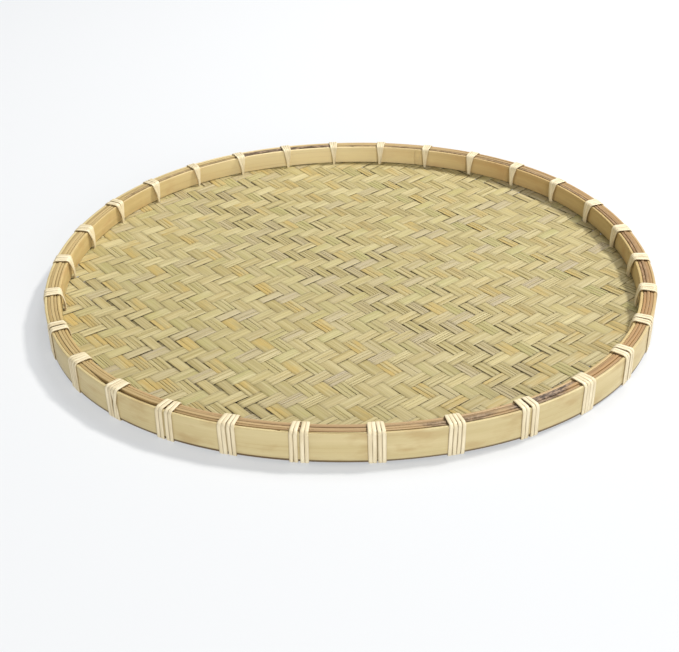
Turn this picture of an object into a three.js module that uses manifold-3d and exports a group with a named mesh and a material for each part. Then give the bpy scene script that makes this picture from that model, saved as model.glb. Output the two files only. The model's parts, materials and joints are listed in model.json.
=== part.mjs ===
// A round, shallow winnowing basket: a twill-woven bamboo mat clamped between two bent bamboo hoops,
// with filler splints over the mat's cut edge and thirty cane lashings that tie the rim together.
// Millimetres, +Z up. The origin is the centre of the rim, on the surface that the basket stands on.
import * as THREE from "three";
import { mergeVertices } from "three/addons/utils/BufferGeometryUtils.js";
import Module from "manifold-3d";

const wasm = await Module();
wasm.setup();

// ---- Driving dimensions -----------------------------------------------------------------------

const RIM_RADIUS = 249; // outer face of the outer hoop
const CLEARANCE = 0.3; // between pieces that touch on the real basket
const RING_STEPS = 72; // facets round the whole rim
const FACET_DEPTH = 0.25; // how far a facet of the inner hoop cuts inside its true circle

const CANE_THICKNESS = 0.7;
const CANE_WIDTH = 2.9;
const CANE_PITCH = 3.2; // from one turn of a lashing to the next
const CANE_TURNS = 4;
const CANE_END_INSET = 0.6; // how far inside the outer hoop's inner face a lashing's ends lie
// How far the cane's middle line cuts the corners of the rim that it turns round.
const CANE_FOOT_CUT = 0.9;
const CANE_OUTER_SHOULDER = { across: 0.4, down: 0.1 };
const CANE_INNER_SHOULDER = { across: 1.2, down: 0.2 };
const CANE_BELOW_MAT = 1.2;
const LASHINGS = 30;

const HOOP_FOOT = CANE_THICKNESS + CLEARANCE; // the cane passes under the hoop and carries it
const OUTER_HOOP_THICKNESS = 2.2;
const OUTER_HOOP_HEIGHT = 23.6;
const INNER_HOOP_THICKNESS = 2.3;
const INNER_HOOP_HEIGHT = 16.4;
const INNER_HOOP_STEP = 0.4; // how far its top edge lies below the outer hoop's
const RIM_THICKNESS = 12; // from the outer hoop's outer face to the inner hoop's inner face
const HOOP_EDGE = 0.5; // chamfer along a hoop's long edges

const FILLER_COUNT = 3;
const FILLER_HEIGHT = 4.6;
const FILLER_CHAMFER = 0.5;
const FILLER_STAND = 0.5; // how far the middle filler splint stands above the outer hoop
const FILLER_BUTT_AT = 20; // degrees, the first one's ends
const FILLER_BUTT_STEP = 125; // degrees from one filler splint's ends to the next one's

const MAT_THICKNESS = 2.2;
const MAT_SAG = 3.2; // how far the flat middle of the mat hangs below its edge
const MAT_FLAT_RADIUS = 150;
const MAT_RISE_RADIUS = 198; // where the rise to the rim changes slope
const MAT_EDGE_INSET = 0.6; // how far inside the middle of the channel the turned-up edge stands
const MAT_EDGE_GAP = 2 * CLEARANCE; // under the filler splints
const MAT_INNER_BEND = 0.5;
const MAT_OUTER_BEND = { across: 1.6, up: 0.3, down: 0.4 };
const SLOT_SLACK = 0.1;

// The hoops are bent by hand, so the rim is slightly squarish and slightly three-lobed.
const SQUARENESS = 0.0098;
const THREE_LOBES = 0.006;

// Where the strips' ends meet, in degrees anticlockwise from +X.
const OUTER_SCARF_AT = -105;
const INNER_SCARF_AT = 75;
const SCARF_LENGTH = 15; // degrees of lap
const SCARF_TIP = 0.5; // thickness left at a scarf's end

// The first lashing, and the drift of hand-tied spacing round the rim, in degrees.
const FIRST_LASHING = 94.5;
const DRIFT = [
  { lobes: 1, size: 0.7, phase: -94 },
  { lobes: 2, size: 1.6, phase: -25 },
  { lobes: 3, size: 0.85, phase: 29 },
  { lobes: 4, size: 0.6, phase: -158 },
];

// ---- Dimensions that follow -------------------------------------------------------------------

const outerHoop = {
  rOut: RIM_RADIUS,
  rIn: RIM_RADIUS - OUTER_HOOP_THICKNESS,
  low: HOOP_FOOT,
  high: HOOP_FOOT + OUTER_HOOP_HEIGHT,
};
const innerHoop = {
  rIn: RIM_RADIUS - RIM_THICKNESS,
  rOut: RIM_RADIUS - RIM_THICKNESS + INNER_HOOP_THICKNESS,
  low: outerHoop.high - INNER_HOOP_STEP - INNER_HOOP_HEIGHT,
  high: outerHoop.high - INNER_HOOP_STEP,
};
const channel = { rIn: innerHoop.rOut + CLEARANCE, rOut: outerHoop.rIn - CLEARANCE };
const fillerWidth =
  (channel.rOut - channel.rIn - (FILLER_COUNT - 1) * CLEARANCE) / FILLER_COUNT;
const fillerTop = outerHoop.high + FILLER_STAND;
const matEdgeTop = fillerTop - FILLER_HEIGHT - MAT_EDGE_GAP;
const matEdgeMiddle = (channel.rIn + channel.rOut) / 2 - MAT_EDGE_INSET;
const matRimHeight = innerHoop.low - CLEARANCE; // the mat's upper face where the inner hoop sits on it
const lashingReach = (CANE_TURNS * CANE_PITCH) / 2 + CLEARANCE;

// ---- Helpers ----------------------------------------------------------------------------------

const radians = THREE.MathUtils.degToRad;

function material(colour, roughness) {
  return new THREE.MeshStandardMaterial({ color: colour, roughness, metalness: 0 });
}

/** Moves every point outwards or inwards as the hand-bent rim does. */
function handBent(geometry) {
  const p = geometry.getAttribute("position");
  for (let i = 0; i < p.count; i++) {
    const angle = Math.atan2(p.getY(i), p.getX(i));
    const k = 1 - SQUARENESS * Math.cos(4 * angle) - THREE_LOBES * Math.sin(3 * angle);
    p.setXY(i, p.getX(i) * k, p.getY(i) * k);
  }
  geometry.computeVertexNormals();
  return geometry;
}

/** A closed solid through a row of sections, each a loop of the same number of points, with flat ends. */
function loft(sections) {
  const n = sections[0].length;
  const positions = sections.flat().flatMap((v) => [v.x, v.y, v.z]);
  const index = [];
  for (let s = 0; s + 1 < sections.length; s++) {
    for (let i = 0; i < n; i++) {
      const a = s * n + i;
      const b = s * n + ((i + 1) % n);
      index.push(a, a + n, b, b, a + n, b + n);
    }
  }
  const last = (sections.length - 1) * n;
  for (let i = 1; i + 1 < n; i++) {
    index.push(0, i, i + 1);
    index.push(last, last + i + 1, last + i);
  }
  const geometry = new THREE.BufferGeometry();
  geometry.setAttribute("position", new THREE.Float32BufferAttribute(positions, 3));
  geometry.setIndex(index);
  return geometry;
}

/** A point at a radius, an angle in degrees and a height. */
function onRim(radius, degrees, z) {
  const a = radians(degrees);
  return new THREE.Vector3(radius * Math.cos(a), radius * Math.sin(a), z);
}

/** A strip's section between two radii and two heights, with chamfered corners, at an angle. */
function stripSection(rIn, rOut, low, high, chamfer, degrees) {
  const c = Math.min(chamfer, (rOut - rIn) * 0.45);
  return [
    onRim(rIn + c, degrees, low),
    onRim(rOut - c, degrees, low),
    onRim(rOut, degrees, low + c),
    onRim(rOut, degrees, high - c),
    onRim(rOut - c, degrees, high),
    onRim(rIn + c, degrees, high),
    onRim(rIn, degrees, high - c),
    onRim(rIn, degrees, low + c),
  ];
}

/** A flat strip bent into a hoop. Its two ends are shaved to wedges that lap over each other. */
function scarfedHoop({ rIn, rOut, low, high }, scarfAt) {
  const growth = rOut - rIn - CLEARANCE - 2 * SCARF_TIP;
  // How thick the inner end is, along the lap.
  const innerEnd = (along) => SCARF_TIP + (growth * along) / SCARF_LENGTH;
  const step = 360 / RING_STEPS;
  const sections = [];
  for (let along = 0; along <= 360 + SCARF_LENGTH; along += step) {
    const outside = along <= SCARF_LENGTH ? rIn + innerEnd(along) : rOut;
    const inside = along >= 360 ? rIn + innerEnd(along - 360) + CLEARANCE : rIn;
    sections.push(stripSection(inside, outside, low, high, HOOP_EDGE, scarfAt + along));
  }
  return loft(sections);
}

/** A narrow splint laid round in the channel between the hoops, its ends butted. */
function fillerSplint(number, buttAt) {
  const rIn = channel.rIn + number * (fillerWidth + CLEARANCE);
  const isMiddle = number === 1;
  const top = fillerTop - (isMiddle ? 0 : FILLER_CHAMFER);
  const step = 360 / RING_STEPS;
  const sections = [];
  for (let i = 0; i <= RING_STEPS; i++) {
    const along = i === RING_STEPS ? 360 - CLEARANCE : i * step;
    const at = buttAt + along;
    const [a, b] = [rIn, rIn + fillerWidth];
    sections.push([
      onRim(a, at, top - FILLER_HEIGHT),
      onRim(b, at, top - FILLER_HEIGHT),
      onRim(b, at, top - FILLER_CHAMFER),
      onRim(b - FILLER_CHAMFER, at, top),
      onRim(a + FILLER_CHAMFER, at, top),
      onRim(a, at, top - FILLER_CHAMFER),
    ]);
  }
  return loft(sections);
}

/** Height of the mat's upper face at a radius: flat in the middle, then rising to the inner hoop. */
function matTop(radius) {
  const beyondFlat = Math.max(radius - MAT_FLAT_RADIUS, 0);
  const rise = beyondFlat / (innerHoop.rIn - MAT_FLAT_RADIUS);
  return matRimHeight - MAT_SAG * (1 - rise ** 2);
}

/** The mat as one shell: the sagging floor, then the edge turned up between the hoops. */
function matShell() {
  const radii = [0, MAT_FLAT_RADIUS, MAT_RISE_RADIUS, innerHoop.rIn];
  const upper = radii.map((r) => new THREE.Vector2(r, matTop(r)));
  const lower = radii.map((r) => new THREE.Vector2(r, matTop(r) - MAT_THICKNESS));
  const rIn = matEdgeMiddle - MAT_THICKNESS / 2;
  const rOut = matEdgeMiddle + MAT_THICKNESS / 2;
  const underside = matRimHeight - MAT_THICKNESS;
  const profile = [
    ...lower,
    new THREE.Vector2(rOut - MAT_OUTER_BEND.across, underside + MAT_OUTER_BEND.up),
    new THREE.Vector2(rOut, matRimHeight + MAT_OUTER_BEND.down),
    new THREE.Vector2(rOut, matEdgeTop),
    new THREE.Vector2(rIn, matEdgeTop),
    new THREE.Vector2(rIn, matRimHeight + MAT_INNER_BEND),
    new THREE.Vector2(rIn - MAT_INNER_BEND, matRimHeight),
    ...upper.reverse(),
  ];
  const shell = new THREE.LatheGeometry(profile, RING_STEPS);
  shell.rotateX(Math.PI / 2); // a lathe turns about Y, and the basket about Z
  return shell;
}

function toSolid(geometry) {
  const bare = new THREE.BufferGeometry();
  bare.setAttribute("position", geometry.getAttribute("position"));
  bare.setIndex(geometry.getIndex());
  const merged = mergeVertices(bare, 1e-4);
  return new wasm.Manifold(
    new wasm.Mesh({
      numProp: 3,
      vertProperties: new Float32Array(merged.getAttribute("position").array),
      triVerts: new Uint32Array(merged.getIndex().array),
    }),
  );
}

function toGeometry(solid) {
  const mesh = solid.getMesh();
  const geometry = new THREE.BufferGeometry();
  geometry.setAttribute("position", new THREE.BufferAttribute(mesh.vertProperties, 3));
  geometry.setIndex(new THREE.BufferAttribute(mesh.triVerts, 1));
  return geometry;
}

/** Where lashing number k is tied, in degrees. They run clockwise, seen from above. */
function lashingAngle(k) {
  const even = (360 / LASHINGS) * k;
  const drift = DRIFT.reduce(
    (sum, { lobes, size, phase }) => sum + size * Math.sin(radians(lobes * even + phase)),
    0,
  );
  return FIRST_LASHING - even + drift;
}

// One turn of cane in the plane of the rim's section: [radius, height] of its middle line.
const half = CANE_THICKNESS / 2;
const hug = CLEARANCE + half;
const faceRadius = RIM_RADIUS + hug;
const holeRadius = innerHoop.rIn - FACET_DEPTH - hug;
const caneTop = fillerTop + hug;
const underHoop = [outerHoop.rIn - CANE_END_INSET, half];
const turn = [
  [faceRadius - CANE_FOOT_CUT, half],
  [faceRadius, half + CANE_FOOT_CUT],
  [faceRadius, outerHoop.high - CANE_OUTER_SHOULDER.down],
  [RIM_RADIUS - CANE_OUTER_SHOULDER.across, caneTop],
  [innerHoop.rIn + CANE_INNER_SHOULDER.across, caneTop],
  [holeRadius, innerHoop.high - CANE_INNER_SHOULDER.down],
  [holeRadius, matRimHeight - MAT_THICKNESS - CANE_BELOW_MAT],
];

/** A strip of cane wound round the rim, through the mat and under the outer hoop. */
function lashing(degrees) {
  const path = [[...underHoop, 0]];
  for (let k = 0; k < CANE_TURNS; k++) {
    turn.forEach((point) => path.push([...point, k]));
    if (k + 1 < CANE_TURNS) path.push([...underHoop, k + 1]);
  }
  const centre = (CANE_TURNS - 1) / 2;
  const sections = path.map(([r, z, k], i) => {
    const before = path[Math.max(i - 1, 0)];
    const after = path[Math.min(i + 1, path.length - 1)];
    const into = new THREE.Vector2(r - before[0], z - before[1]).normalize();
    const out = new THREE.Vector2(after[0] - r, after[1] - z).normalize();
    if (i === 0) into.copy(out);
    if (i === path.length - 1) out.copy(into);
    const along = into.clone().add(out).normalize();
    const mitre = half / along.dot(out); // keeps the strip's thickness round a corner
    const outward = [along.y * mitre, -along.x * mitre];
    const side = (k - centre) * CANE_PITCH;
    const corner = (s, w) =>
      new THREE.Vector3(r + s * outward[0], side + (w * CANE_WIDTH) / 2, z + s * outward[1]);
    return [corner(-1, -1), corner(-1, 1), corner(1, 1), corner(1, -1)];
  });
  return loft(sections).rotateZ(radians(degrees));
}

// ---- The basket -------------------------------------------------------------------------------

const basket = new THREE.Group();

function add(name, geometry, look) {
  const mesh = new THREE.Mesh(handBent(geometry), look);
  mesh.name = name;
  basket.add(mesh);
}

const bandBamboo = material("#d6c088", 0.45);
const innerBamboo = material("#c9ab73", 0.5);
const splintBamboo = material("#cdbf83", 0.6);
const fillerBamboo = material("#a98a5c", 0.7);
const cane = material("#e8dab4", 0.45);

// The lashings pass through the mat, so it has a slot for each.
const slotWidth = CANE_THICKNESS + 2 * CLEARANCE + SLOT_SLACK;
const slots = Array.from({ length: LASHINGS }, (_, k) => {
  const box = new THREE.BoxGeometry(slotWidth, 2 * lashingReach, 4 * MAT_THICKNESS);
  box.translate(holeRadius, 0, matRimHeight - MAT_THICKNESS / 2);
  return toSolid(box.rotateZ(radians(lashingAngle(k))));
});
const mat = slots.reduce((solid, slot) => solid.subtract(slot), toSolid(matShell()));
add("woven_mat", toGeometry(mat), splintBamboo);

add("outer_hoop", scarfedHoop(outerHoop, OUTER_SCARF_AT), bandBamboo);
add("inner_hoop", scarfedHoop(innerHoop, INNER_SCARF_AT), innerBamboo);

["inner", "middle", "outer"].forEach((place, i) => {
  const buttAt = FILLER_BUTT_AT + FILLER_BUTT_STEP * i;
  add(`filler_splint_${place}`, fillerSplint(i, buttAt), fillerBamboo);
});

for (let k = 0; k < LASHINGS; k++) {
  add(`lashing_${String(k + 1).padStart(2, "0")}`, lashing(lashingAngle(k)), cane);
}

export default basket;
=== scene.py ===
import json
import math

import bpy
import numpy as np
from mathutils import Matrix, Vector


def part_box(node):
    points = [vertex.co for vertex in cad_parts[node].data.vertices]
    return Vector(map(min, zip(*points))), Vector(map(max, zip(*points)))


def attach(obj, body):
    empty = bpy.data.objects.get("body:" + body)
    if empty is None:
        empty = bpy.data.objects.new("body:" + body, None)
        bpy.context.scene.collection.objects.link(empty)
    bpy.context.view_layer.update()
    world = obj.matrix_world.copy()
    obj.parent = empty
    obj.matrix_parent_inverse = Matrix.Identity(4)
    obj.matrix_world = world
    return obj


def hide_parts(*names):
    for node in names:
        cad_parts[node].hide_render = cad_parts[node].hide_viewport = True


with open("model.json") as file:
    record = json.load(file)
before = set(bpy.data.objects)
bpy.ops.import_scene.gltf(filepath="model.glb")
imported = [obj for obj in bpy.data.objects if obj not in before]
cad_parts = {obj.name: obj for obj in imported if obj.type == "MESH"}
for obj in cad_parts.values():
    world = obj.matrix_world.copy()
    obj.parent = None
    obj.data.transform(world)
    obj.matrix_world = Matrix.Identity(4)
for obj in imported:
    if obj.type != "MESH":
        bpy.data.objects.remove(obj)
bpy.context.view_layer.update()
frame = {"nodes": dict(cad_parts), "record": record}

MM = 0.001
SEED = 11

# ---- The rim, as the frame has it ---------------------------------------------------------------

# The hoops are bent by hand, so the rim is slightly squarish and slightly three-lobed.
SQUARENESS = 0.0098
THREE_LOBES = 0.006


def bend_factor(angle):
    """How far the rim lies outside or inside a true circle at an angle."""
    return 1 - SQUARENESS * np.cos(4 * angle) - THREE_LOBES * np.sin(3 * angle)


def round_radius(node):
    """A ring node's outer radius before it is bent out of round."""
    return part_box(node)[1].x / bend_factor(0)


def heights(node):
    low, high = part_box(node)
    return low.z, high.z


RIM_RADIUS = round_radius("outer_hoop")
OUTER_HOOP_THICKNESS = 2.2 * MM
INNER_HOOP_THICKNESS = 2.3 * MM
INNER_LOW = heights("inner_hoop")[0]
INNER_HOOP_OUTSIDE = round_radius("inner_hoop")
INNER_HOOP_INSIDE = INNER_HOOP_OUTSIDE - INNER_HOOP_THICKNESS
INNER_SCARF_AT = 73.5
SCARF_LENGTH = 15
SCARF_TIP = 0.5 * MM
SCARF_GAP = 0.25 * MM
ARC_PER_DEGREE = 4.2 * MM  # along the rim


def tie_angle(number):
    """Where a lashing is tied, in degrees, from the middle of its CAD node."""
    low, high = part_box(f"lashing_{number:02d}")
    middle = (low + high) / 2
    return math.degrees(math.atan2(middle.y, middle.x))


LASHINGS = sum(name.startswith("lashing_") for name in frame["nodes"])
tie_angles = {k: tie_angle(k) for k in range(1, LASHINGS + 1)}


def half_turn(degrees):
    """The same angle from -180 to 180."""
    return (degrees + 180) % 360 - 180


def nearest_tie(degrees):
    """The angle of the lashing nearest to an angle, all in degrees."""
    return min(tie_angles.values(), key=lambda tie: abs(half_turn(tie - degrees)))


# ---- Meshes made of long strips ------------------------------------------------------------------


def drift(rng, s, wavelength, size):
    """A smooth random wander along s, of about that wavelength and size."""
    total = np.zeros_like(s, dtype=float)
    for octave in (1.0, 0.57, 0.31):
        phase = rng.uniform(0, 2 * math.pi)
        total += octave * np.sin(2 * math.pi * s / (wavelength * octave) + phase)
    return size * total / 1.5


def unit(vectors):
    return vectors / np.linalg.norm(vectors, axis=-1, keepdims=True)


class Strips:
    """Closed strips gathered into one mesh. Every point knows its place along and across its strip."""

    def __init__(self):
        self.points = []
        self.faces = []
        self.places = []
        self.values = {}
        self.count = 0

    def add(self, sections, along, across, **values):
        """sections is (stations, corners, 3). along is (stations), across (stations, corners)."""
        stations, corners = sections.shape[:2]
        first = self.count
        number = np.arange(stations * corners).reshape(stations, corners) + first
        beside = np.roll(number, -1, axis=1)
        quads = np.stack([number[:-1], beside[:-1], beside[1:], number[1:]], -1)
        faces = quads.reshape(-1, 4).tolist()
        faces.append(number[0][::-1].tolist())
        faces.append(number[-1].tolist())
        if self.inside_out(sections):
            faces = [face[::-1] for face in faces]
        self.faces += faces
        self.points.append(sections.reshape(-1, 3))
        self.places.append(
            np.stack([np.broadcast_to(along[:, None], across.shape), across], -1).reshape(-1, 2)
        )
        for name, value in values.items():
            spread = np.broadcast_to(value, (stations, corners)).reshape(-1)
            self.values.setdefault(name, []).append(spread)
        self.count += stations * corners

    @staticmethod
    def inside_out(sections):
        """Whether the corners run the wrong way round the strip, judged by its middle section."""
        k = len(sections) // 2
        loop = sections[k] - sections[k].mean(0)
        turning = np.cross(loop, np.roll(loop, -1, axis=0)).sum(0)
        ahead = sections[k + 1].mean(0) - sections[k].mean(0)
        return turning @ ahead < 0

    def build(self, name, material, sharp=40):
        mesh = bpy.data.meshes.new(name)
        points = np.concatenate(self.points)
        mesh.from_pydata(points.tolist(), [], self.faces)
        corner_points = np.empty(len(mesh.loops), np.int32)
        mesh.loops.foreach_get("vertex_index", corner_points)
        layer = mesh.uv_layers.new(name="strip")
        layer.data.foreach_set("uv", np.concatenate(self.places)[corner_points].ravel())
        for value_name, parts in self.values.items():
            attribute = mesh.attributes.new(value_name, "FLOAT", "POINT")
            attribute.data.foreach_set("value", np.concatenate(parts).astype(np.float32))
        mesh.polygons.foreach_set("use_smooth", np.ones(len(mesh.polygons), bool))
        mesh.set_sharp_from_angle(angle=math.radians(sharp))
        mesh.materials.append(material)
        piece = bpy.data.objects.new(name, mesh)
        bpy.context.scene.collection.objects.link(piece)
        return piece


def finish_piece(piece, slot, *nodes):
    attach(piece, "root")
    if nodes:
        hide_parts(*nodes)
    return piece


# ---- Materials -----------------------------------------------------------------------------------


class Nodes:
    """A short way to write a material's node tree."""

    def __init__(self, name):
        self.material = bpy.data.materials.new(name)
        self.material.use_nodes = True
        self.tree = self.material.node_tree
        self.shader = self.tree.nodes["Principled BSDF"]

    def new(self, kind, **settings):
        node = self.tree.nodes.new(kind)
        for key, value in settings.items():
            setattr(node, key, value)
        return node

    def set(self, socket, value):
        if isinstance(value, bpy.types.NodeSocket):
            self.tree.links.new(value, socket)
        else:
            socket.default_value = value

    def math(self, operation, a, b, clamp=False):
        node = self.new("ShaderNodeMath", operation=operation, use_clamp=clamp)
        self.set(node.inputs[0], a)
        self.set(node.inputs[1], b)
        return node.outputs[0]

    def attribute(self, name):
        return self.new("ShaderNodeAttribute", attribute_name=name).outputs["Fac"]

    def strip_place(self, along, across, seed=0.0):
        """Where a point lies on its strip, stretched to so many repeats a metre each way."""
        split = self.new("ShaderNodeSeparateXYZ")
        self.set(split.inputs[0], self.new("ShaderNodeUVMap", uv_map="strip").outputs[0])
        join = self.new("ShaderNodeCombineXYZ")
        self.set(join.inputs[0], self.math("MULTIPLY", split.outputs[0], along))
        self.set(join.inputs[1], self.math("MULTIPLY", split.outputs[1], across))
        self.set(join.inputs[2], seed)
        return join.outputs[0]

    def noise(self, place, detail=3.0, roughness=0.55):
        node = self.new("ShaderNodeTexNoise")
        self.set(node.inputs["Vector"], place)
        node.inputs["Scale"].default_value = 1.0
        node.inputs["Detail"].default_value = detail
        node.inputs["Roughness"].default_value = roughness
        return node.outputs["Fac"]

    def between(self, value, low, high, bottom=0.0, top=1.0):
        """value carried from low..high to bottom..top, and held there."""
        node = self.new("ShaderNodeMapRange", clamp=True)
        for socket, number in zip(node.inputs[1:5], (low, high, bottom, top)):
            self.set(socket, number)
        self.set(node.inputs[0], value)
        return node.outputs[0]

    def mix(self, share, a, b):
        node = self.new("ShaderNodeMix", data_type="RGBA")
        self.set(node.inputs["Factor"], share)
        for socket, colour in ((node.inputs[6], a), (node.inputs[7], b)):
            self.set(socket, (*colour, 1) if isinstance(colour, tuple) else colour)
        return node.outputs[2]

    def relief(self, height, depth):
        node = self.new("ShaderNodeBump")
        node.inputs["Strength"].default_value = 1.0
        node.inputs["Distance"].default_value = depth
        self.set(node.inputs["Height"], height)
        self.set(self.shader.inputs["Normal"], node.outputs[0])


def srgb(red, green, blue):
    """A colour given as it looks on a screen, 0 to 255, as the linear numbers that shaders use."""
    shares = [c / 255 for c in (red, green, blue)]
    return tuple(s / 12.92 if s <= 0.04045 else ((s + 0.055) / 1.055) ** 2.4 for s in shares)


def splint_material():
    """Shaved bamboo splints: straw, with green, golden and grey ones, all streaked along the fibres, with
    painted shade at their edges and under crossing splints, and rising splints painted lighter than falling
    ones as painted light.
    """
    n = Nodes("shaved_bamboo")
    seed = n.math("MULTIPLY", n.attribute("seed"), 97.0)
    fine = n.noise(n.strip_place(8, 2200, seed), detail=4, roughness=0.6)
    broad = n.noise(n.strip_place(15, 620, seed), detail=3)
    patches = n.noise(n.strip_place(45, 110, seed), detail=2)
    # Each strand's random tone, plus painted light that makes rising splints lighter and falling ones
    # darker.
    tone = n.math("MULTIPLY", n.attribute("tone"), 0.24)
    light = n.math("ADD", n.between(broad, 0.28, 0.72), tone, clamp=True)
    colour = n.mix(light, srgb(161, 145, 95), srgb(204, 191, 143))
    green = n.math("MULTIPLY", n.attribute("green"), n.between(patches, 0.3, 0.6, 0.1, 0.8))
    colour = n.mix(green, colour, srgb(172, 168, 108))
    golden = n.math("MULTIPLY", n.attribute("golden"), n.between(patches, 0.4, 0.62, 0.1, 0.9))
    colour = n.mix(golden, colour, srgb(193, 165, 94))
    grey = n.math("MULTIPLY", n.attribute("grey"), n.between(broad, 0.3, 0.65, 0.1, 0.8))
    colour = n.mix(grey, colour, srgb(174, 160, 138))
    colour = n.mix(n.between(fine, 0.55, 0.72, 0, 0.6), colour, srgb(112, 94, 56))
    colour = n.mix(n.between(fine, 0.42, 0.26, 0, 0.55), colour, srgb(222, 210, 164))
    # Painted shade along each splint's edges, where shade falls between neighbouring splints.
    colour = n.mix(n.math("MULTIPLY", n.attribute("side"), 0.28), colour, srgb(112, 94, 56))
    # Painted shade on the faces that lie under crossing splints, seen only through the gaps between them.
    colour = n.mix(n.math("MULTIPLY", n.attribute("hidden"), 0.7), colour, srgb(72, 58, 32))
    n.set(n.shader.inputs["Base Color"], colour)
    n.set(n.shader.inputs["Roughness"], n.between(fine, 0.3, 0.7, 0.44, 0.64))
    n.shader.inputs["Specular IOR Level"].default_value = 0.35
    n.relief(fine, 0.16 * MM)
    return n.material


def hoop_material(name, dark, light, stain, foot, crown):
    """A planed or rind-side bamboo strip: faint grain, blotches, darker fibres, a stretch painted paler as
    painted light, a foot darkened by painted contact shade over a brown edge, and a top of its own colour.
    """
    n = Nodes(name)
    fine = n.noise(n.strip_place(5, 1400), detail=4)
    broad = n.noise(n.strip_place(6, 120), detail=3)
    blotches = n.noise(n.strip_place(30, 75), detail=3)
    colour = n.mix(n.between(broad, 0.25, 0.75), dark, light)
    colour = n.mix(n.between(blotches, 0.52, 0.68, 0, 0.5), colour, stain)
    colour = n.mix(n.between(blotches, 0.42, 0.3, 0, 0.35), colour, light)
    stained = n.math("MULTIPLY", n.attribute("stained"), n.between(broad, 0.2, 0.7, 1, 0.6))
    colour = n.mix(stained, colour, stain)
    # Painted light: paler towards the back, where the light from the front falls on the inner face.
    colour = n.mix(n.math("MULTIPLY", n.attribute("pale"), 0.85), colour, srgb(242, 224, 176))
    colour = n.mix(n.between(fine, 0.58, 0.74, 0, 0.5), colour, stain)
    crowned = n.math("MULTIPLY", n.attribute("crown"), n.between(blotches, 0.3, 0.6, 0.7, 1))
    colour = n.mix(crowned, colour, crown)
    # The foot: painted contact shade over a brown edge, its top made ragged by the fibres.
    edge = n.math("ADD", n.attribute("foot"), n.between(fine, 0.4, 0.7, -0.15, 0.15))
    colour = n.mix(n.between(edge, 0.3, 0.7, 0, 0.92), colour, foot)
    n.set(n.shader.inputs["Base Color"], colour)
    n.set(n.shader.inputs["Roughness"], n.between(fine, 0.3, 0.7, 0.36, 0.54))
    n.shader.inputs["Specular IOR Level"].default_value = 0.4
    n.relief(fine, 0.10 * MM)
    return n.material


def filler_material():
    """Split bamboo packing: straw to pinkish brown, coarse dark fibres, with patches of mottled bark, and
    painted shade on its sides in the gaps between the strips.
    """
    n = Nodes("split_bamboo")
    seed = n.math("MULTIPLY", n.attribute("seed"), 97.0)
    fine = n.noise(n.strip_place(9, 1300, seed), detail=4)
    broad = n.noise(n.strip_place(6, 300, seed), detail=3)
    mottle = n.noise(n.strip_place(150, 420, seed), detail=5, roughness=0.7)
    tan = n.mix(n.between(broad, 0.3, 0.7), srgb(153, 123, 84), srgb(187, 158, 113))
    straw = n.mix(n.between(broad, 0.3, 0.7), srgb(170, 144, 93), srgb(198, 174, 122))
    colour = n.mix(n.attribute("straw"), tan, straw)
    brown = n.math("MULTIPLY", n.attribute("brown"), n.between(broad, 0.35, 0.6, 0.25, 1))
    colour = n.mix(brown, colour, srgb(164, 120, 66))
    colour = n.mix(n.between(fine, 0.56, 0.7, 0, 0.75), colour, srgb(104, 72, 38))
    bark = n.mix(n.between(mottle, 0.44, 0.6), srgb(56, 40, 28), srgb(168, 142, 116))
    barked = n.math("MULTIPLY", n.attribute("bark"), n.between(mottle, 0.2, 0.45, 0.5, 1))
    colour = n.mix(barked, colour, bark)
    # Painted shade on the sides of each filler splint, where shade falls in the deep gaps between them.
    shaded_sides = n.math("SUBTRACT", 0.75, n.math("MULTIPLY", n.attribute("crown"), 0.75))
    colour = n.mix(shaded_sides, colour, srgb(88, 60, 34))
    n.set(n.shader.inputs["Base Color"], colour)
    n.set(n.shader.inputs["Roughness"], n.between(fine, 0.3, 0.7, 0.5, 0.75))
    n.relief(fine, 0.2 * MM)
    return n.material


def cane_material():
    """Split cane: cream, satin on its rounded rind side, with fine lengthwise fibres and painted shade along
    its edges.
    """
    n = Nodes("split_cane")
    seed = n.math("MULTIPLY", n.attribute("seed"), 97.0)
    fine = n.noise(n.strip_place(22, 1700, seed), detail=3)
    broad = n.noise(n.strip_place(40, 260, seed), detail=3)
    colour = n.mix(n.between(broad, 0.3, 0.7), srgb(218, 201, 162), srgb(240, 227, 194))
    colour = n.mix(n.between(fine, 0.58, 0.75, 0, 0.6), colour, srgb(158, 130, 88))
    # Painted shade along the edges of each turn, where shade falls between the turns.
    colour = n.mix(n.math("MULTIPLY", n.attribute("side"), 0.5), colour, srgb(138, 110, 70))
    n.set(n.shader.inputs["Base Color"], colour)
    n.set(n.shader.inputs["Roughness"], n.between(fine, 0.3, 0.7, 0.38, 0.55))
    n.relief(fine, 0.1 * MM)
    return n.material


# ---- The mat -------------------------------------------------------------------------------------

SPLINT_THICKNESS = 0.54 * MM
WEAVE_RISE = 0.40 * MM  # a splint's middle above or below the mat's middle, at a crossing
CAD_MAT_THICKNESS = 2.2 * MM
MAT_FLAT_RADIUS = 150 * MM
MAT_BELOW_HOOP = 0.3 * MM
TURN_RADIUS = 2.4 * MM  # of the bend that turns the mat's edge up between the hoops
MAT_EDGE_RADIUS = round_radius("woven_mat") - CAD_MAT_THICKNESS / 2
TURN_AT = MAT_EDGE_RADIUS - TURN_RADIUS
MAT_EDGE_HEIGHT = heights("woven_mat")[1]

WEAVE_HALF = WEAVE_RISE + SPLINT_THICKNESS / 2
floor_middle = heights("woven_mat")[0] + CAD_MAT_THICKNESS - WEAVE_HALF
rim_middle = INNER_LOW - MAT_BELOW_HOOP - WEAVE_HALF
CUT_RADIUS = TURN_AT + TURN_RADIUS * math.pi / 2 + MAT_EDGE_HEIGHT - rim_middle - TURN_RADIUS

# Each family of splints: the way its splints run, in degrees from +X, and their pitch.
RISING = {"angle": 40.4, "pitch": 9.85 * MM, "count": 49}
FALLING = {"angle": -51.2, "pitch": 10.64 * MM, "count": 46}


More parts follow.
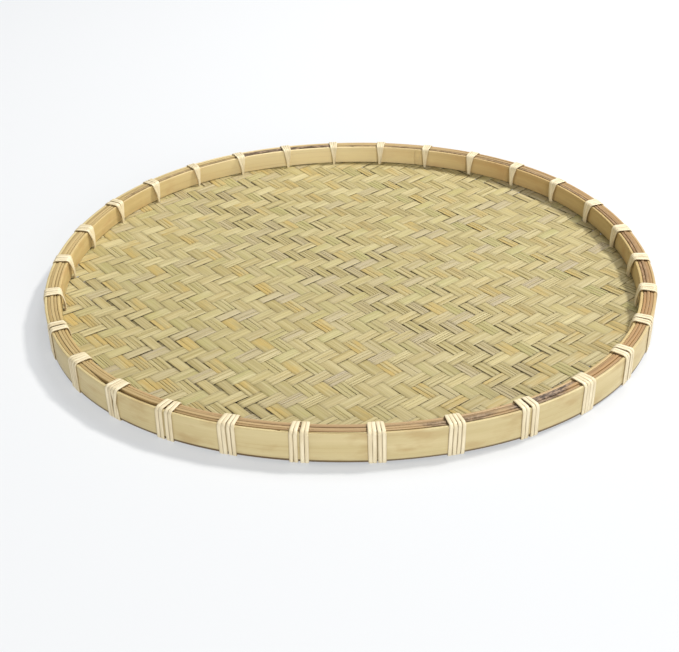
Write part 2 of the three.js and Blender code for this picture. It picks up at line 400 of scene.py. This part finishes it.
def on_mat(x, y, height):
    """Carries points of a flat weave to the mat's shape: its sagging floor and its turned-up edge."""
    angle = np.arctan2(y, x)
    bend = bend_factor(angle)
    radius = np.hypot(x, y) / bend
    rise = np.clip((radius - MAT_FLAT_RADIUS) / (INNER_HOOP_INSIDE - MAT_FLAT_RADIUS), 0, 1)
    turn = np.clip((radius - TURN_AT) / TURN_RADIUS, 0, math.pi / 2)
    up = np.maximum(radius - TURN_AT - TURN_RADIUS * math.pi / 2, 0)
    out = np.minimum(radius, TURN_AT) + TURN_RADIUS * np.sin(turn) - height * np.sin(turn)
    z = floor_middle + (rim_middle - floor_middle) * rise**2
    z = z + TURN_RADIUS * (1 - np.cos(turn)) + up + height * np.cos(turn)
    return np.stack([out * bend * np.cos(angle), out * bend * np.sin(angle), z], -1)


def directions(family, towards):
    """A family's own direction, and the way across it that leads towards the other direction."""
    a, b = math.radians(family["angle"]), math.radians(towards["angle"])
    along = np.array([math.cos(a), math.sin(a)])
    across = np.array([-along[1], along[0]])
    if across @ np.array([math.cos(b), math.sin(b)]) < 0:
        across = -across
    return along, across


def over(u):
    """1 where a rising splint passes over, -1 where it passes under: two over, two under."""
    sharpness = 6.0
    return np.tanh(sharpness * np.cos(math.pi / 2 * (u - 0.5))) / math.tanh(sharpness)


# Across a splint, from one edge over the top to the other and back below: share of the width, share of the
# thickness, and how much painted shade darkens the point, most at the edges, where shade falls between
# splints.
SPLINT_SHARE = np.array([0, 0.05, 0.2, 0.5, 0.8, 0.95, 1, 0.95, 0.5, 0.05])
SPLINT_LIFT = np.array([0.05, 0.42, 0.5, 0.5, 0.5, 0.42, 0.05, -0.42, -0.5, -0.42])
SPLINT_EDGE_SHADE = np.array([1, 0.75, 0.12, 0, 0.12, 0.75, 1, 0.75, 0, 0.75])
SPLINT_TOP = SPLINT_LIFT > 0
# Chances that a splint is one strip, or is split along its fibres into two, three or four.
STRAND_CHANCES = [0.44, 0.3, 0.17, 0.09]
# Splints that are narrow for certain, counted from the middle of the mat. A few others are narrow by chance.
NARROW_RISING = (9, 19)
NARROW_FALLING = (-1, 14)
GREY_RISING = 11  # one splint that is grey and split into four strands from end to end


def splint_width(rng, pitch, is_rising, number):
    """Most splints nearly fill their pitch, and some are narrow and leave dark slots beside them."""
    narrow = NARROW_RISING if is_rising else NARROW_FALLING
    if rng.random() < 0.12 or number in narrow:
        return pitch - (rng.uniform(1.2, 2.2) if is_rising else rng.uniform(2.0, 3.0)) * MM
    return pitch - rng.uniform(0.02, 0.32) * MM


def tints(rng, is_rising):
    """How golden, green and grey a splint is."""
    kind = rng.random()
    golden_share, green_to = (0.03, 0.34) if is_rising else (0.16, 0.45)
    return {
        "golden": rng.uniform(0.6, 1) if kind < golden_share else rng.uniform(0, 0.25),
        "green": rng.uniform(0.4, 0.9) if 0.2 < kind < green_to else rng.uniform(0, 0.25),
        "grey": rng.uniform(0.4, 0.9) if 0.45 < kind < 0.57 else rng.uniform(0, 0.25),
    }


def splint(name, number, family, other, is_rising, material, rng):
    along, across = directions(family, other)
    other_across = directions(other, family)[1]
    offset = number * family["pitch"]
    # Stations lie closer together where the splint passes from over to under.
    steps = np.array([0, 0.25, 0.37, 0.45, 0.55, 0.63, 0.75])
    reach = int(CUT_RADIUS * 1.03 / other["pitch"]) + 1
    crossings = (np.arange(-reach, reach + 1)[:, None] + steps).ravel()
    # Where the line of this splint meets that place in the other family's count.
    centre = across * offset
    s = (crossings * other["pitch"] - centre @ other_across) / (along @ other_across)
    x, y = centre[:, None] + along[:, None] * s
    radius = np.hypot(x, y) / bend_factor(np.arctan2(y, x))
    kept = radius < CUT_RADIUS - rng.uniform(0, 1.5) * MM
    if kept.sum() < 4:
        return None
    s, x, y, crossings = s[kept], x[kept], y[kept], crossings[kept]
    u = number - crossings if is_rising else crossings - number
    height = WEAVE_RISE * over(u) * (1 if is_rising else -1)
    under = 0.5 - 0.5 * over(u) * (1 if is_rising else -1)
    # Painted shade weight: 1 on the faces that lie under crossing splints, where shade falls, and show only
    # through gaps.
    hidden = np.where(SPLINT_TOP, under[:, None], 1 - under[:, None])
    width = splint_width(rng, family["pitch"], is_rising, number)
    sway = drift(rng, s, 220 * MM, 0.28 * MM)
    left = sway - width / 2 + drift(rng, s, 50 * MM, 0.12 * MM)
    right = sway + width / 2 + drift(rng, s, 50 * MM, 0.12 * MM)
    cup = rng.uniform(-0.1, 0.45) * (1 - (2 * SPLINT_SHARE - 1) ** 2)
    is_grey = is_rising and number == GREY_RISING
    strands = 4 if is_grey else rng.choice([1, 2, 3, 4], p=STRAND_CHANCES)
    cuts = np.linspace(0, 1, strands + 1)
    cuts[1:-1] += rng.uniform(-0.35, 0.35, strands - 1) / strands
    edges = [left + (right - left) * cut for cut in cuts]
    strips = Strips()
    tint = tints(rng, is_rising)
    if is_grey:
        tint.update(golden=0, green=0, grey=1)
    # Rising splints are painted lighter and falling ones darker: painted light and shade for how the light
    # falls on the two directions of the weave.
    family_tone = 0.4 if is_rising else -0.4
    for k in range(strands):
        gap = [np.zeros_like(s), np.zeros_like(s)]
        if k > 0:
            gap[0] = np.maximum(drift(rng, s, 130 * MM, 0.2 * MM), 0.02 * MM)
        if k + 1 < strands:
            gap[1] = np.maximum(drift(rng, s, 130 * MM, 0.2 * MM), 0.02 * MM)
        a, b = edges[k] + gap[0], edges[k + 1] - gap[1]
        place = a[:, None] + (b - a)[:, None] * SPLINT_SHARE
        lift = height[:, None] + (SPLINT_LIFT + cup) * SPLINT_THICKNESS
        lift = lift + drift(rng, s, 70 * MM, 0.05 * MM)[:, None]
        px = x[:, None] + across[0] * place
        py = y[:, None] + across[1] * place
        # Each strand carries weights for painted shade along its edges and for painted shade on the faces
        # that lie under crossing splints and show only through gaps.
        strips.add(
            on_mat(px, py, lift), s, place, seed=rng.random(),
            tone=family_tone + rng.uniform(-0.8, 0.8),
            side=SPLINT_EDGE_SHADE * rng.uniform(0.1, 1), hidden=hidden, **tint,
        )
    return strips.build(name, material)


def mat():
    material = splint_material()
    for word, family, other in (("rising", RISING, FALLING), ("falling", FALLING, RISING)):
        half = (family["count"] - 1) / 2
        for k in range(family["count"]):
            rng = np.random.default_rng([SEED, family["count"], k])
            number = k - int(half)
            piece = splint(
                f"splint_{word}_{k + 1:02d}", number, family, other, word == "rising", material, rng
            )
            if piece is not None:
                finish_piece(piece, "mat_splint")
    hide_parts("woven_mat")


# ---- The hoops and the filler splints --------------------------------------------------------------

CORNER_STEPS = 3


def rounded_box():
    """Round a rectangle, from the middle of its inner side over the bottom: which corner each point
    belongs to, its place on that corner's quarter circle, and whether it is on the bottom outer corner
    or on the top."""
    rows = [(-1, 0, 0, 0, 0, 0)]
    for su, sv, start in ((-1, -1, 180), (1, -1, 270), (1, 1, 0), (-1, 1, 90)):
        for k in range(CORNER_STEPS + 1):
            a = math.radians(start + 90 * k / CORNER_STEPS)
            rows.append((su, sv, math.cos(a) - su, math.sin(a) - sv, (su, sv) == (1, -1), sv == 1))
    return np.array(rows, float)


def ring_strip(strips, angle, inside, outside, low, high, corner, crown=1, shaded_foot_height=0.0, **values):
    """Adds a strip that runs round the rim through these angles, with rounded corners."""
    outline = rounded_box()
    middle, half = (inside + outside) / 2, (outside - inside) / 2
    z_middle, z_half = (low + high) / 2, (high - low) / 2
    squeeze = np.minimum(half / (corner * 1.05), 1)
    r = middle[:, None] + half[:, None] * outline[:, 0] + corner * squeeze[:, None] * outline[:, 2]
    z = z_middle[:, None] + z_half[:, None] * outline[:, 1] + corner * outline[:, 3]
    r = r * bend_factor(angle)[:, None]
    a = angle[:, None]
    foot = np.broadcast_to(outline[:, 4], r.shape)
    crown = np.broadcast_to(outline[:, 5] * crown, r.shape)
    if shaded_foot_height:
        # One more row of points above the foot, where its painted shade and brown edge end.
        last = int(np.flatnonzero(outline[:, 4])[-1]) + 1
        r = np.insert(r, last, r[:, last - 1], axis=1)
        z = np.insert(z, last, z[:, last - 1] + shaded_foot_height, axis=1)
        foot = np.insert(foot, last, 0, axis=1)
        crown = np.insert(crown, last, 0, axis=1)
    points = np.stack([r * np.cos(a), r * np.sin(a), z], -1)
    along = angle * RIM_RADIUS
    across = z + (r - r.mean(1, keepdims=True))
    strips.add(points, along, across, foot=foot, crown=crown, **values)


# Where the hoops are browner, and where they are painted paler, as painted light on the inner face at the
# back, in degrees.
STAIN_AT = 50
STAIN_SPREAD = 24
STAIN_SHARE = 0.5
PAINTED_LIGHT_AT = 100
PAINTED_LIGHT_SPREAD = 30
# The darker lower edge is painted contact shade under the hoop, over a brown edge.
SHADED_FOOT_HEIGHT = 2.2 * MM  # of the darker lower edge
HOOP_CORNER = 0.6 * MM


def hoop(name, node, thickness, scarf_at, material, rng, crown_at, crown_spread):
    """A strip bent into a hoop, its shaved ends lapped over each other. Its top has the crown's colour
    round crown_at, in degrees."""
    outside_radius = round_radius(node)
    low, high = heights(node)
    degrees = np.arange(0, 360 + SCARF_LENGTH + 0.1, 1.0)
    growth = thickness - SCARF_GAP - 2 * SCARF_TIP
    lap_start = np.clip(degrees / SCARF_LENGTH, 0, 1)
    lap_end = np.clip((degrees - 360) / SCARF_LENGTH, 0, 1)
    inner_face = outside_radius - thickness
    outside = np.where(
        degrees <= SCARF_LENGTH, inner_face + SCARF_TIP + growth * lap_start, outside_radius
    )
    inside = np.where(
        degrees >= 360, inner_face + SCARF_TIP + growth * lap_end + SCARF_GAP, inner_face
    )
    angle = np.radians(scarf_at + degrees)
    at = half_turn(scarf_at + degrees)
    s = degrees * ARC_PER_DEGREE
    top = high + drift(rng, s, 300 * MM, 0.15 * MM) - 0.2 * MM
    bottom = low + drift(rng, s, 260 * MM, 0.12 * MM) + 0.15 * MM
    strips = Strips()
    stained = STAIN_SHARE * np.exp(-((at - STAIN_AT) / STAIN_SPREAD) ** 2)
    # Painted light, paler towards the back.
    pale = np.exp(-((at - PAINTED_LIGHT_AT) / PAINTED_LIGHT_SPREAD) ** 2)
    crown = np.exp(-((at - crown_at) / crown_spread) ** 4)
    ring_strip(
        strips, angle, inside, outside, bottom, top, HOOP_CORNER, crown[:, None],
        shaded_foot_height=SHADED_FOOT_HEIGHT, stained=stained[:, None], pale=pale[:, None],
    )
    return finish_piece(strips.build(name, material), node_slot(node), node)


def node_slot(node):
    return next(p["material_slot"] for p in frame["record"]["subparts"] if p["node"] == node)


# Stretches of the packing that still have their bark: degrees from, degrees to, how dark.
BARK = {
    "inner": [(92, 118, 1.0), (60, 92, 0.5), (118, 150, 0.5), (-18, 58, 0.45), (-64, -50, 1.0)],
    "middle": [(92, 118, 0.9), (-65, -52, 1.0), (-80, -66, 0.65), (-12, 26, 0.25)],
    "outer": [(-64, -53, 0.8), (-79, -67, 0.65)],
}
# How much higher the inner packing stands where it has all its bark, at the back, between the lashings.
BARK_RISE = 1.0 * MM
# The stretch of the rim that counts as the front, in degrees.
FRONT_AT = -92
FRONT_SPREAD = 34
# How far each filler splint stands from the strips inside and outside it, at the front, and elsewhere.
FRONT_GAPS = {"inner": (0, 0.7 * MM), "middle": (0.2 * MM, 0), "outer": (0, 0.9 * MM)}
SIDE_GAPS = {
    "inner": (0.3 * MM, 0.1 * MM),
    "middle": (0.1 * MM, 0.12 * MM),
    "outer": (0.1 * MM, 0.15 * MM),
}
# Where the outermost packing sags and leaves an open gap beside the outer hoop.
GAP_FROM = -139
GAP_TO = -118
GAP_WIDTH = 0.9 * MM
GAP_SAG = 1.6 * MM
FILLER_CORNER = 0.3 * MM
# Each filler splint's ends meet under the lashing nearest to its own angle, in degrees.
BUTT_AT = {"inner": 20, "middle": 145, "outer": 270}


def bark_at(degrees, place):
    """How much of its bark the packing still has, from 0 to 1."""
    total = np.zeros_like(degrees)
    for start, end, share in BARK[place]:
        inside = np.minimum(degrees - start, end - degrees) / 2
        total = np.maximum(total, share * np.clip(inside, 0, 1))
    return total


def fillers(material):
    pitch = (RIM_RADIUS - OUTER_HOOP_THICKNESS - INNER_HOOP_OUTSIDE) / 3
    for k, place in enumerate(BARK):
        node = f"filler_splint_{place}"
        rng = np.random.default_rng([SEED, 300 + k])
        start = INNER_HOOP_OUTSIDE + k * pitch
        low, high = heights(node)
        degrees = np.arange(0, 359.9, 1.0)
        start_at = nearest_tie(BUTT_AT[place])
        angle = np.radians(start_at + degrees)
        at = half_turn(start_at + degrees)
        s = degrees * ARC_PER_DEGREE
        front = np.exp(-((at - FRONT_AT) / FRONT_SPREAD) ** 4)
        gaps = [
            side_gap + (front_gap - side_gap) * front
            for front_gap, side_gap in zip(FRONT_GAPS[place], SIDE_GAPS[place])
        ]
        top = high - 0.35 * MM + drift(rng, s, 240 * MM, 0.25 * MM)
        inside = start + gaps[0] + drift(rng, s, 150 * MM, 0.06 * MM)
        out = start + pitch - gaps[1] + drift(rng, s, 150 * MM, 0.06 * MM)
        if place == "inner":
            from_tie = np.min([abs(half_turn(at - tie)) for tie in tie_angles.values()], 0)
            at_back = bark_at(at, place) * np.clip(2 * np.sin(angle) - 1, 0, 1)
            top = top + BARK_RISE * at_back * np.clip((from_tie - 2) / 2, 0, 1)
        if place == "outer":
            gap = np.clip(np.minimum(at - GAP_FROM, GAP_TO - at) / 5, 0, 1)
            out = out - GAP_WIDTH * gap
            top = top - GAP_SAG * gap
        # Straw-coloured at the left, and brown at the right.
        straw = np.clip(0.3 - 1.2 * np.cos(angle) + 0.5 * np.sin(angle), 0, 1)
        brown = np.clip(2.2 * np.cos(angle + math.radians(12)) - 1.3, 0, 1)
        strips = Strips()
        ring_strip(
            strips, angle, inside, out, np.full_like(s, low), top, FILLER_CORNER, seed=rng.random(),
            bark=bark_at(at, place)[:, None], straw=straw[:, None], brown=brown[:, None],
        )
        finish_piece(strips.build(f"packing_{place}", material), "filler_splint", node)


# ---- The lashings ----------------------------------------------------------------------------------

CANE_THICKNESS = 0.8 * MM
CANE_WIDTH = 2.9 * MM
CANE_PITCH = 3.02 * MM
TURNS = 4
# Across a strip of cane, rounded on its rind side: share of the half width, share of the thickness, and
# how much painted shade darkens the point, most at the edges, where shade falls between the turns.
CANE_SHARE = np.array([-1, -0.9, -0.5, 0, 0.5, 0.9, 1, 0.9, 0, -0.9])
CANE_LIFT = np.array([-0.05, 0.27, 0.46, 0.5, 0.46, 0.27, -0.05, -0.44, -0.5, -0.44])
CANE_EDGE_SHADE = np.array([1, 0.45, 0, 0, 0, 0.45, 1, 1, 0.5, 1])
LAYER = 0.42 * MM  # how far each turn lies over the one before it, where they run together
NARROWEST = 0.7  # the cane is split thinner for the lashings at the back
CROSSED = nearest_tie(-132)  # here the last two turns cross each other on the outer face
FACE_ROW = 5  # the row of a turn's path that is half way up the outer face


def smoothed(points, rounds):
    """Chaikin's corner cutting on an open path, which keeps the two ends."""
    for _ in range(rounds):
        a, b = points[:-1], points[1:]
        cut = np.stack([0.75 * a + 0.25 * b, 0.25 * a + 0.75 * b], 1).reshape(-1, points.shape[1])
        points = np.concatenate([points[:1], cut, points[-1:]])
    return points


def bend(centre, radius, start, end, spreads, steps=5):
    """A rounded corner in the plane of the rim's section, as rows of radius, height and spread."""
    rows = []
    for k in range(steps):
        share = k / (steps - 1)
        a = math.radians(start + (end - start) * share)
        spread = spreads[0] + (spreads[1] - spreads[0]) * share
        rows.append((centre[0] + radius * math.cos(a), centre[1] + radius * math.sin(a), spread))
    return rows


def one_turn(low, high, bow):
    """The middle line of one turn of cane, from under the outer hoop, up, over the rim and down through
    the mat. Each row is radius, height, and spread: 1 where the turns lie side by side, 0 if together."""
    half = CANE_THICKNESS / 2
    face = RIM_RADIUS + half + 0.08 * MM
    wall = INNER_HOOP_INSIDE - half - 0.1 * MM
    top = high - half
    foot = rim_middle
    return [
        (RIM_RADIUS - 4 * MM, low + half, 0.85),
        *bend((face - 1 * MM, low + half + 1 * MM), 1 * MM, -90, 0, (0.95, 1), 4),
        (face + 0.1 * MM, (low + high) / 2, 1),
        *bend((face - 2.85 * MM, top - 3 * MM), 3 * MM, 0, 90, (1, 0.97)),
        *bend((wall + 2.4 * MM, top - 3 * MM), 3 * MM, 90, 165, (0.88, 0.74)),
        (wall - bow * 0.7, top - 6.5 * MM, 0.5),
        (wall - bow, top - 10.5 * MM, 0.28),
        (wall - bow * 0.95, foot + 3 * MM, 0.16),
        (wall - bow * 0.6, foot + 0.6 * MM, 0.1),
        (wall - bow * 0.3, foot - 1.8 * MM, 0.14),
        (wall + 1.8 * MM, low + 1.5 * MM, 0.35),
    ]


def crossed_place(places, turn, row):
    """Where one of the last two turns lies sideways, and how far it is lifted, when they change places
    below the middle of the outer face."""
    if row < FACE_ROW:
        return places[2 * TURNS - 3 - turn], 0
    if row == FACE_ROW:
        return (places[-1] + places[-2]) / 2, CANE_THICKNESS if turn == TURNS - 1 else 0
    return places[turn], 0


def lashing(number, material):
    rng = np.random.default_rng([SEED, 500 + number])
    node = f"lashing_{number:02d}"
    low, high = heights(node)
    at = math.radians(tie_angles[number])
    back = min(max((math.sin(at) - 0.35) / 0.45, 0), 1)
    scale = 1 - (1 - NARROWEST) * back * rng.uniform(0.75, 1.1)
    pair_gap = rng.choice([0.0, 0.5, 1.5]) * MM * (1 - back)
    lean = rng.uniform(-0.6, 0.6) * MM
    bow = rng.uniform(1.2, 2.2) * MM
    places = (np.arange(TURNS) - (TURNS - 1) / 2) * CANE_PITCH * scale
    places += pair_gap * np.where(np.arange(TURNS) < TURNS / 2, -0.5, 0.5)
    path = []
    for k in range(TURNS):
        turn = one_turn(low, high, bow + rng.uniform(-0.3, 0.3) * MM)
        wobble = rng.uniform(-0.15, 0.15, len(turn)) * MM
        width = rng.uniform(0.92, 1.05)
        for row, ((r, z, spread), aside) in enumerate(zip(turn, wobble)):
            side, lifted = places[k], 0
            if tie_angles[number] == CROSSED and k >= TURNS - 2:
                side, lifted = crossed_place(places, k, row)
            layer = (1 - spread) * k * LAYER
            tilt = lean * (z - (low + high) / 2) / (high - low)
            path.append((r + lifted - layer, side * spread + tilt + aside, z, width))
    path = smoothed(np.array(path), 2)
    widths = path[:, 3:]
    path = path[:, :3]
    ahead = unit(np.gradient(path, axis=0))
    outward = unit(np.stack([ahead[:, 2], np.zeros(len(ahead)), -ahead[:, 0]], -1))
    sideways = unit(np.cross(ahead, outward))
    outward = np.cross(sideways, ahead)
    across = CANE_SHARE * CANE_WIDTH / 2 * scale * widths
    lift = CANE_LIFT * CANE_THICKNESS
    local = path[:, None] + sideways[:, None] * across[..., None] + outward[:, None] * lift[:, None]
    c, s = math.cos(at), math.sin(at)
    x = local[..., 0] * c - local[..., 1] * s
    y = local[..., 0] * s + local[..., 1] * c
    factor = bend_factor(np.arctan2(y, x))
    points = np.stack([x * factor, y * factor, np.maximum(local[..., 2], 0)], -1)
    along = np.concatenate([[0], np.cumsum(np.linalg.norm(np.diff(path, axis=0), axis=1))])
    strips = Strips()
    strips.add(points, along, across, seed=rng.random(), side=CANE_EDGE_SHADE)
    finish_piece(strips.build(f"cane_lashing_{number:02d}", material, 50), "cane", node)


# ---- The basket --------------------------------------------------------------------------------------

mat()
hoop(
    "outer_band", "outer_hoop", OUTER_HOOP_THICKNESS, nearest_tie(-85) - SCARF_LENGTH,
    # The fourth colour darkens the foot: painted contact shade over a brown edge.
    hoop_material(
        "bamboo_rind", srgb(196, 177, 126), srgb(211, 194, 146), srgb(176, 144, 92), srgb(82, 58, 32),
        srgb(186, 152, 104),
    ),
    np.random.default_rng([SEED, 1]), crown_at=38, crown_spread=66,
)
hoop(
    "inner_band", "inner_hoop", INNER_HOOP_THICKNESS, INNER_SCARF_AT,
    # The fourth colour darkens the foot: painted contact shade over a brown edge.
    hoop_material(
        "planed_bamboo", srgb(187, 161, 105), srgb(210, 186, 131), srgb(184, 142, 90), srgb(110, 80, 44),
        srgb(180, 148, 108),
    ),
    np.random.default_rng([SEED, 2]), crown_at=-92, crown_spread=46,
)
fillers(filler_material())
cane = cane_material()
for number in range(1, LASHINGS + 1):
    lashing(number, cane)

# ---- Floor, light and camera -------------------------------------------------------------------------

FLOOR_PAINTED_GLOW = 0.47  # a painted glow from the floor itself, which lightens the basket's shadows on it; it fades out under the basket


def around(azimuth, elevation, distance):
    """A place at an azimuth from +X and an elevation, in degrees, and a distance in metres."""
    a, e = math.radians(azimuth), math.radians(elevation)
    return (
        distance * math.cos(e) * math.cos(a),
        distance * math.cos(e) * math.sin(a),
        distance * math.sin(e),
    )


def floor():
    n = Nodes("floor_paper")
    n.shader.inputs["Base Color"].default_value = (0.37, 0.37, 0.37, 1)
    n.shader.inputs["Roughness"].default_value = 0.9
    n.shader.inputs["Emission Color"].default_value = (0.93, 0.96, 1, 1)
    place = n.new("ShaderNodeVectorMath", operation="LENGTH")
    n.set(place.inputs[0], n.new("ShaderNodeTexCoord").outputs["Object"])
    # Painted light: the floor glows, except under the basket, so that gaps in the weave stay dark.
    painted_glow = n.between(place.outputs["Value"], 0.2, 0.25, 0, FLOOR_PAINTED_GLOW)
    n.set(n.shader.inputs["Emission Strength"], painted_glow)
    mesh = bpy.data.meshes.new("floor")
    side = 12.0
    corners = [(-side, -side, 0), (side, -side, 0), (side, side, 0), (-side, side, 0)]
    mesh.from_pydata(corners, [], [(0, 1, 2, 3)])
    mesh.materials.append(n.material)
    piece = bpy.data.objects.new("floor", mesh)
    bpy.context.scene.collection.objects.link(piece)


def area_light(name, place, target, size, watts, colour=(1, 1, 1)):
    lamp = bpy.data.lights.new(name, "AREA")
    lamp.shape = "DISK"
    lamp.size = size
    lamp.energy = watts
    lamp.color = colour
    light = bpy.data.objects.new(name, lamp)
    light.location = place
    light.rotation_euler = (Vector(target) - Vector(place)).to_track_quat("-Z", "Y").to_euler()
    bpy.context.scene.collection.objects.link(light)


def camera():
    data = bpy.data.cameras.new("camera")
    data.sensor_width = 36
    data.lens = 60.58
    view = bpy.data.objects.new("camera", data)
    view.location = (0, -0.8421, 0.4724)
    view.rotation_euler = [math.radians(a) for a in (58.536, 1.027, -0.007)]
    bpy.context.scene.collection.objects.link(view)
    bpy.context.scene.camera = view


floor()
world = bpy.data.worlds.new("studio")
world.use_nodes = True
world.node_tree.nodes["Background"].inputs["Color"].default_value = (0.93, 0.96, 1, 1)
world.node_tree.nodes["Background"].inputs["Strength"].default_value = 0.30
bpy.context.scene.world = world
area_light("key", around(27, 54, 3.0), (0, 0, 0), 0.4, 82, (1, 0.985, 0.95))
area_light("back", around(66, 60, 2.6), (0, 0, 0), 0.9, 19)
area_light("front", around(-70, 15, 2.6), (0, 0, 0), 1.2, 32.5)
area_light("side", around(-160, 20, 2.6), (0, 0, 0), 1.2, 8.8, (1, 0.95, 0.82))
bpy.context.scene.view_settings.view_transform = "Standard"
camera()
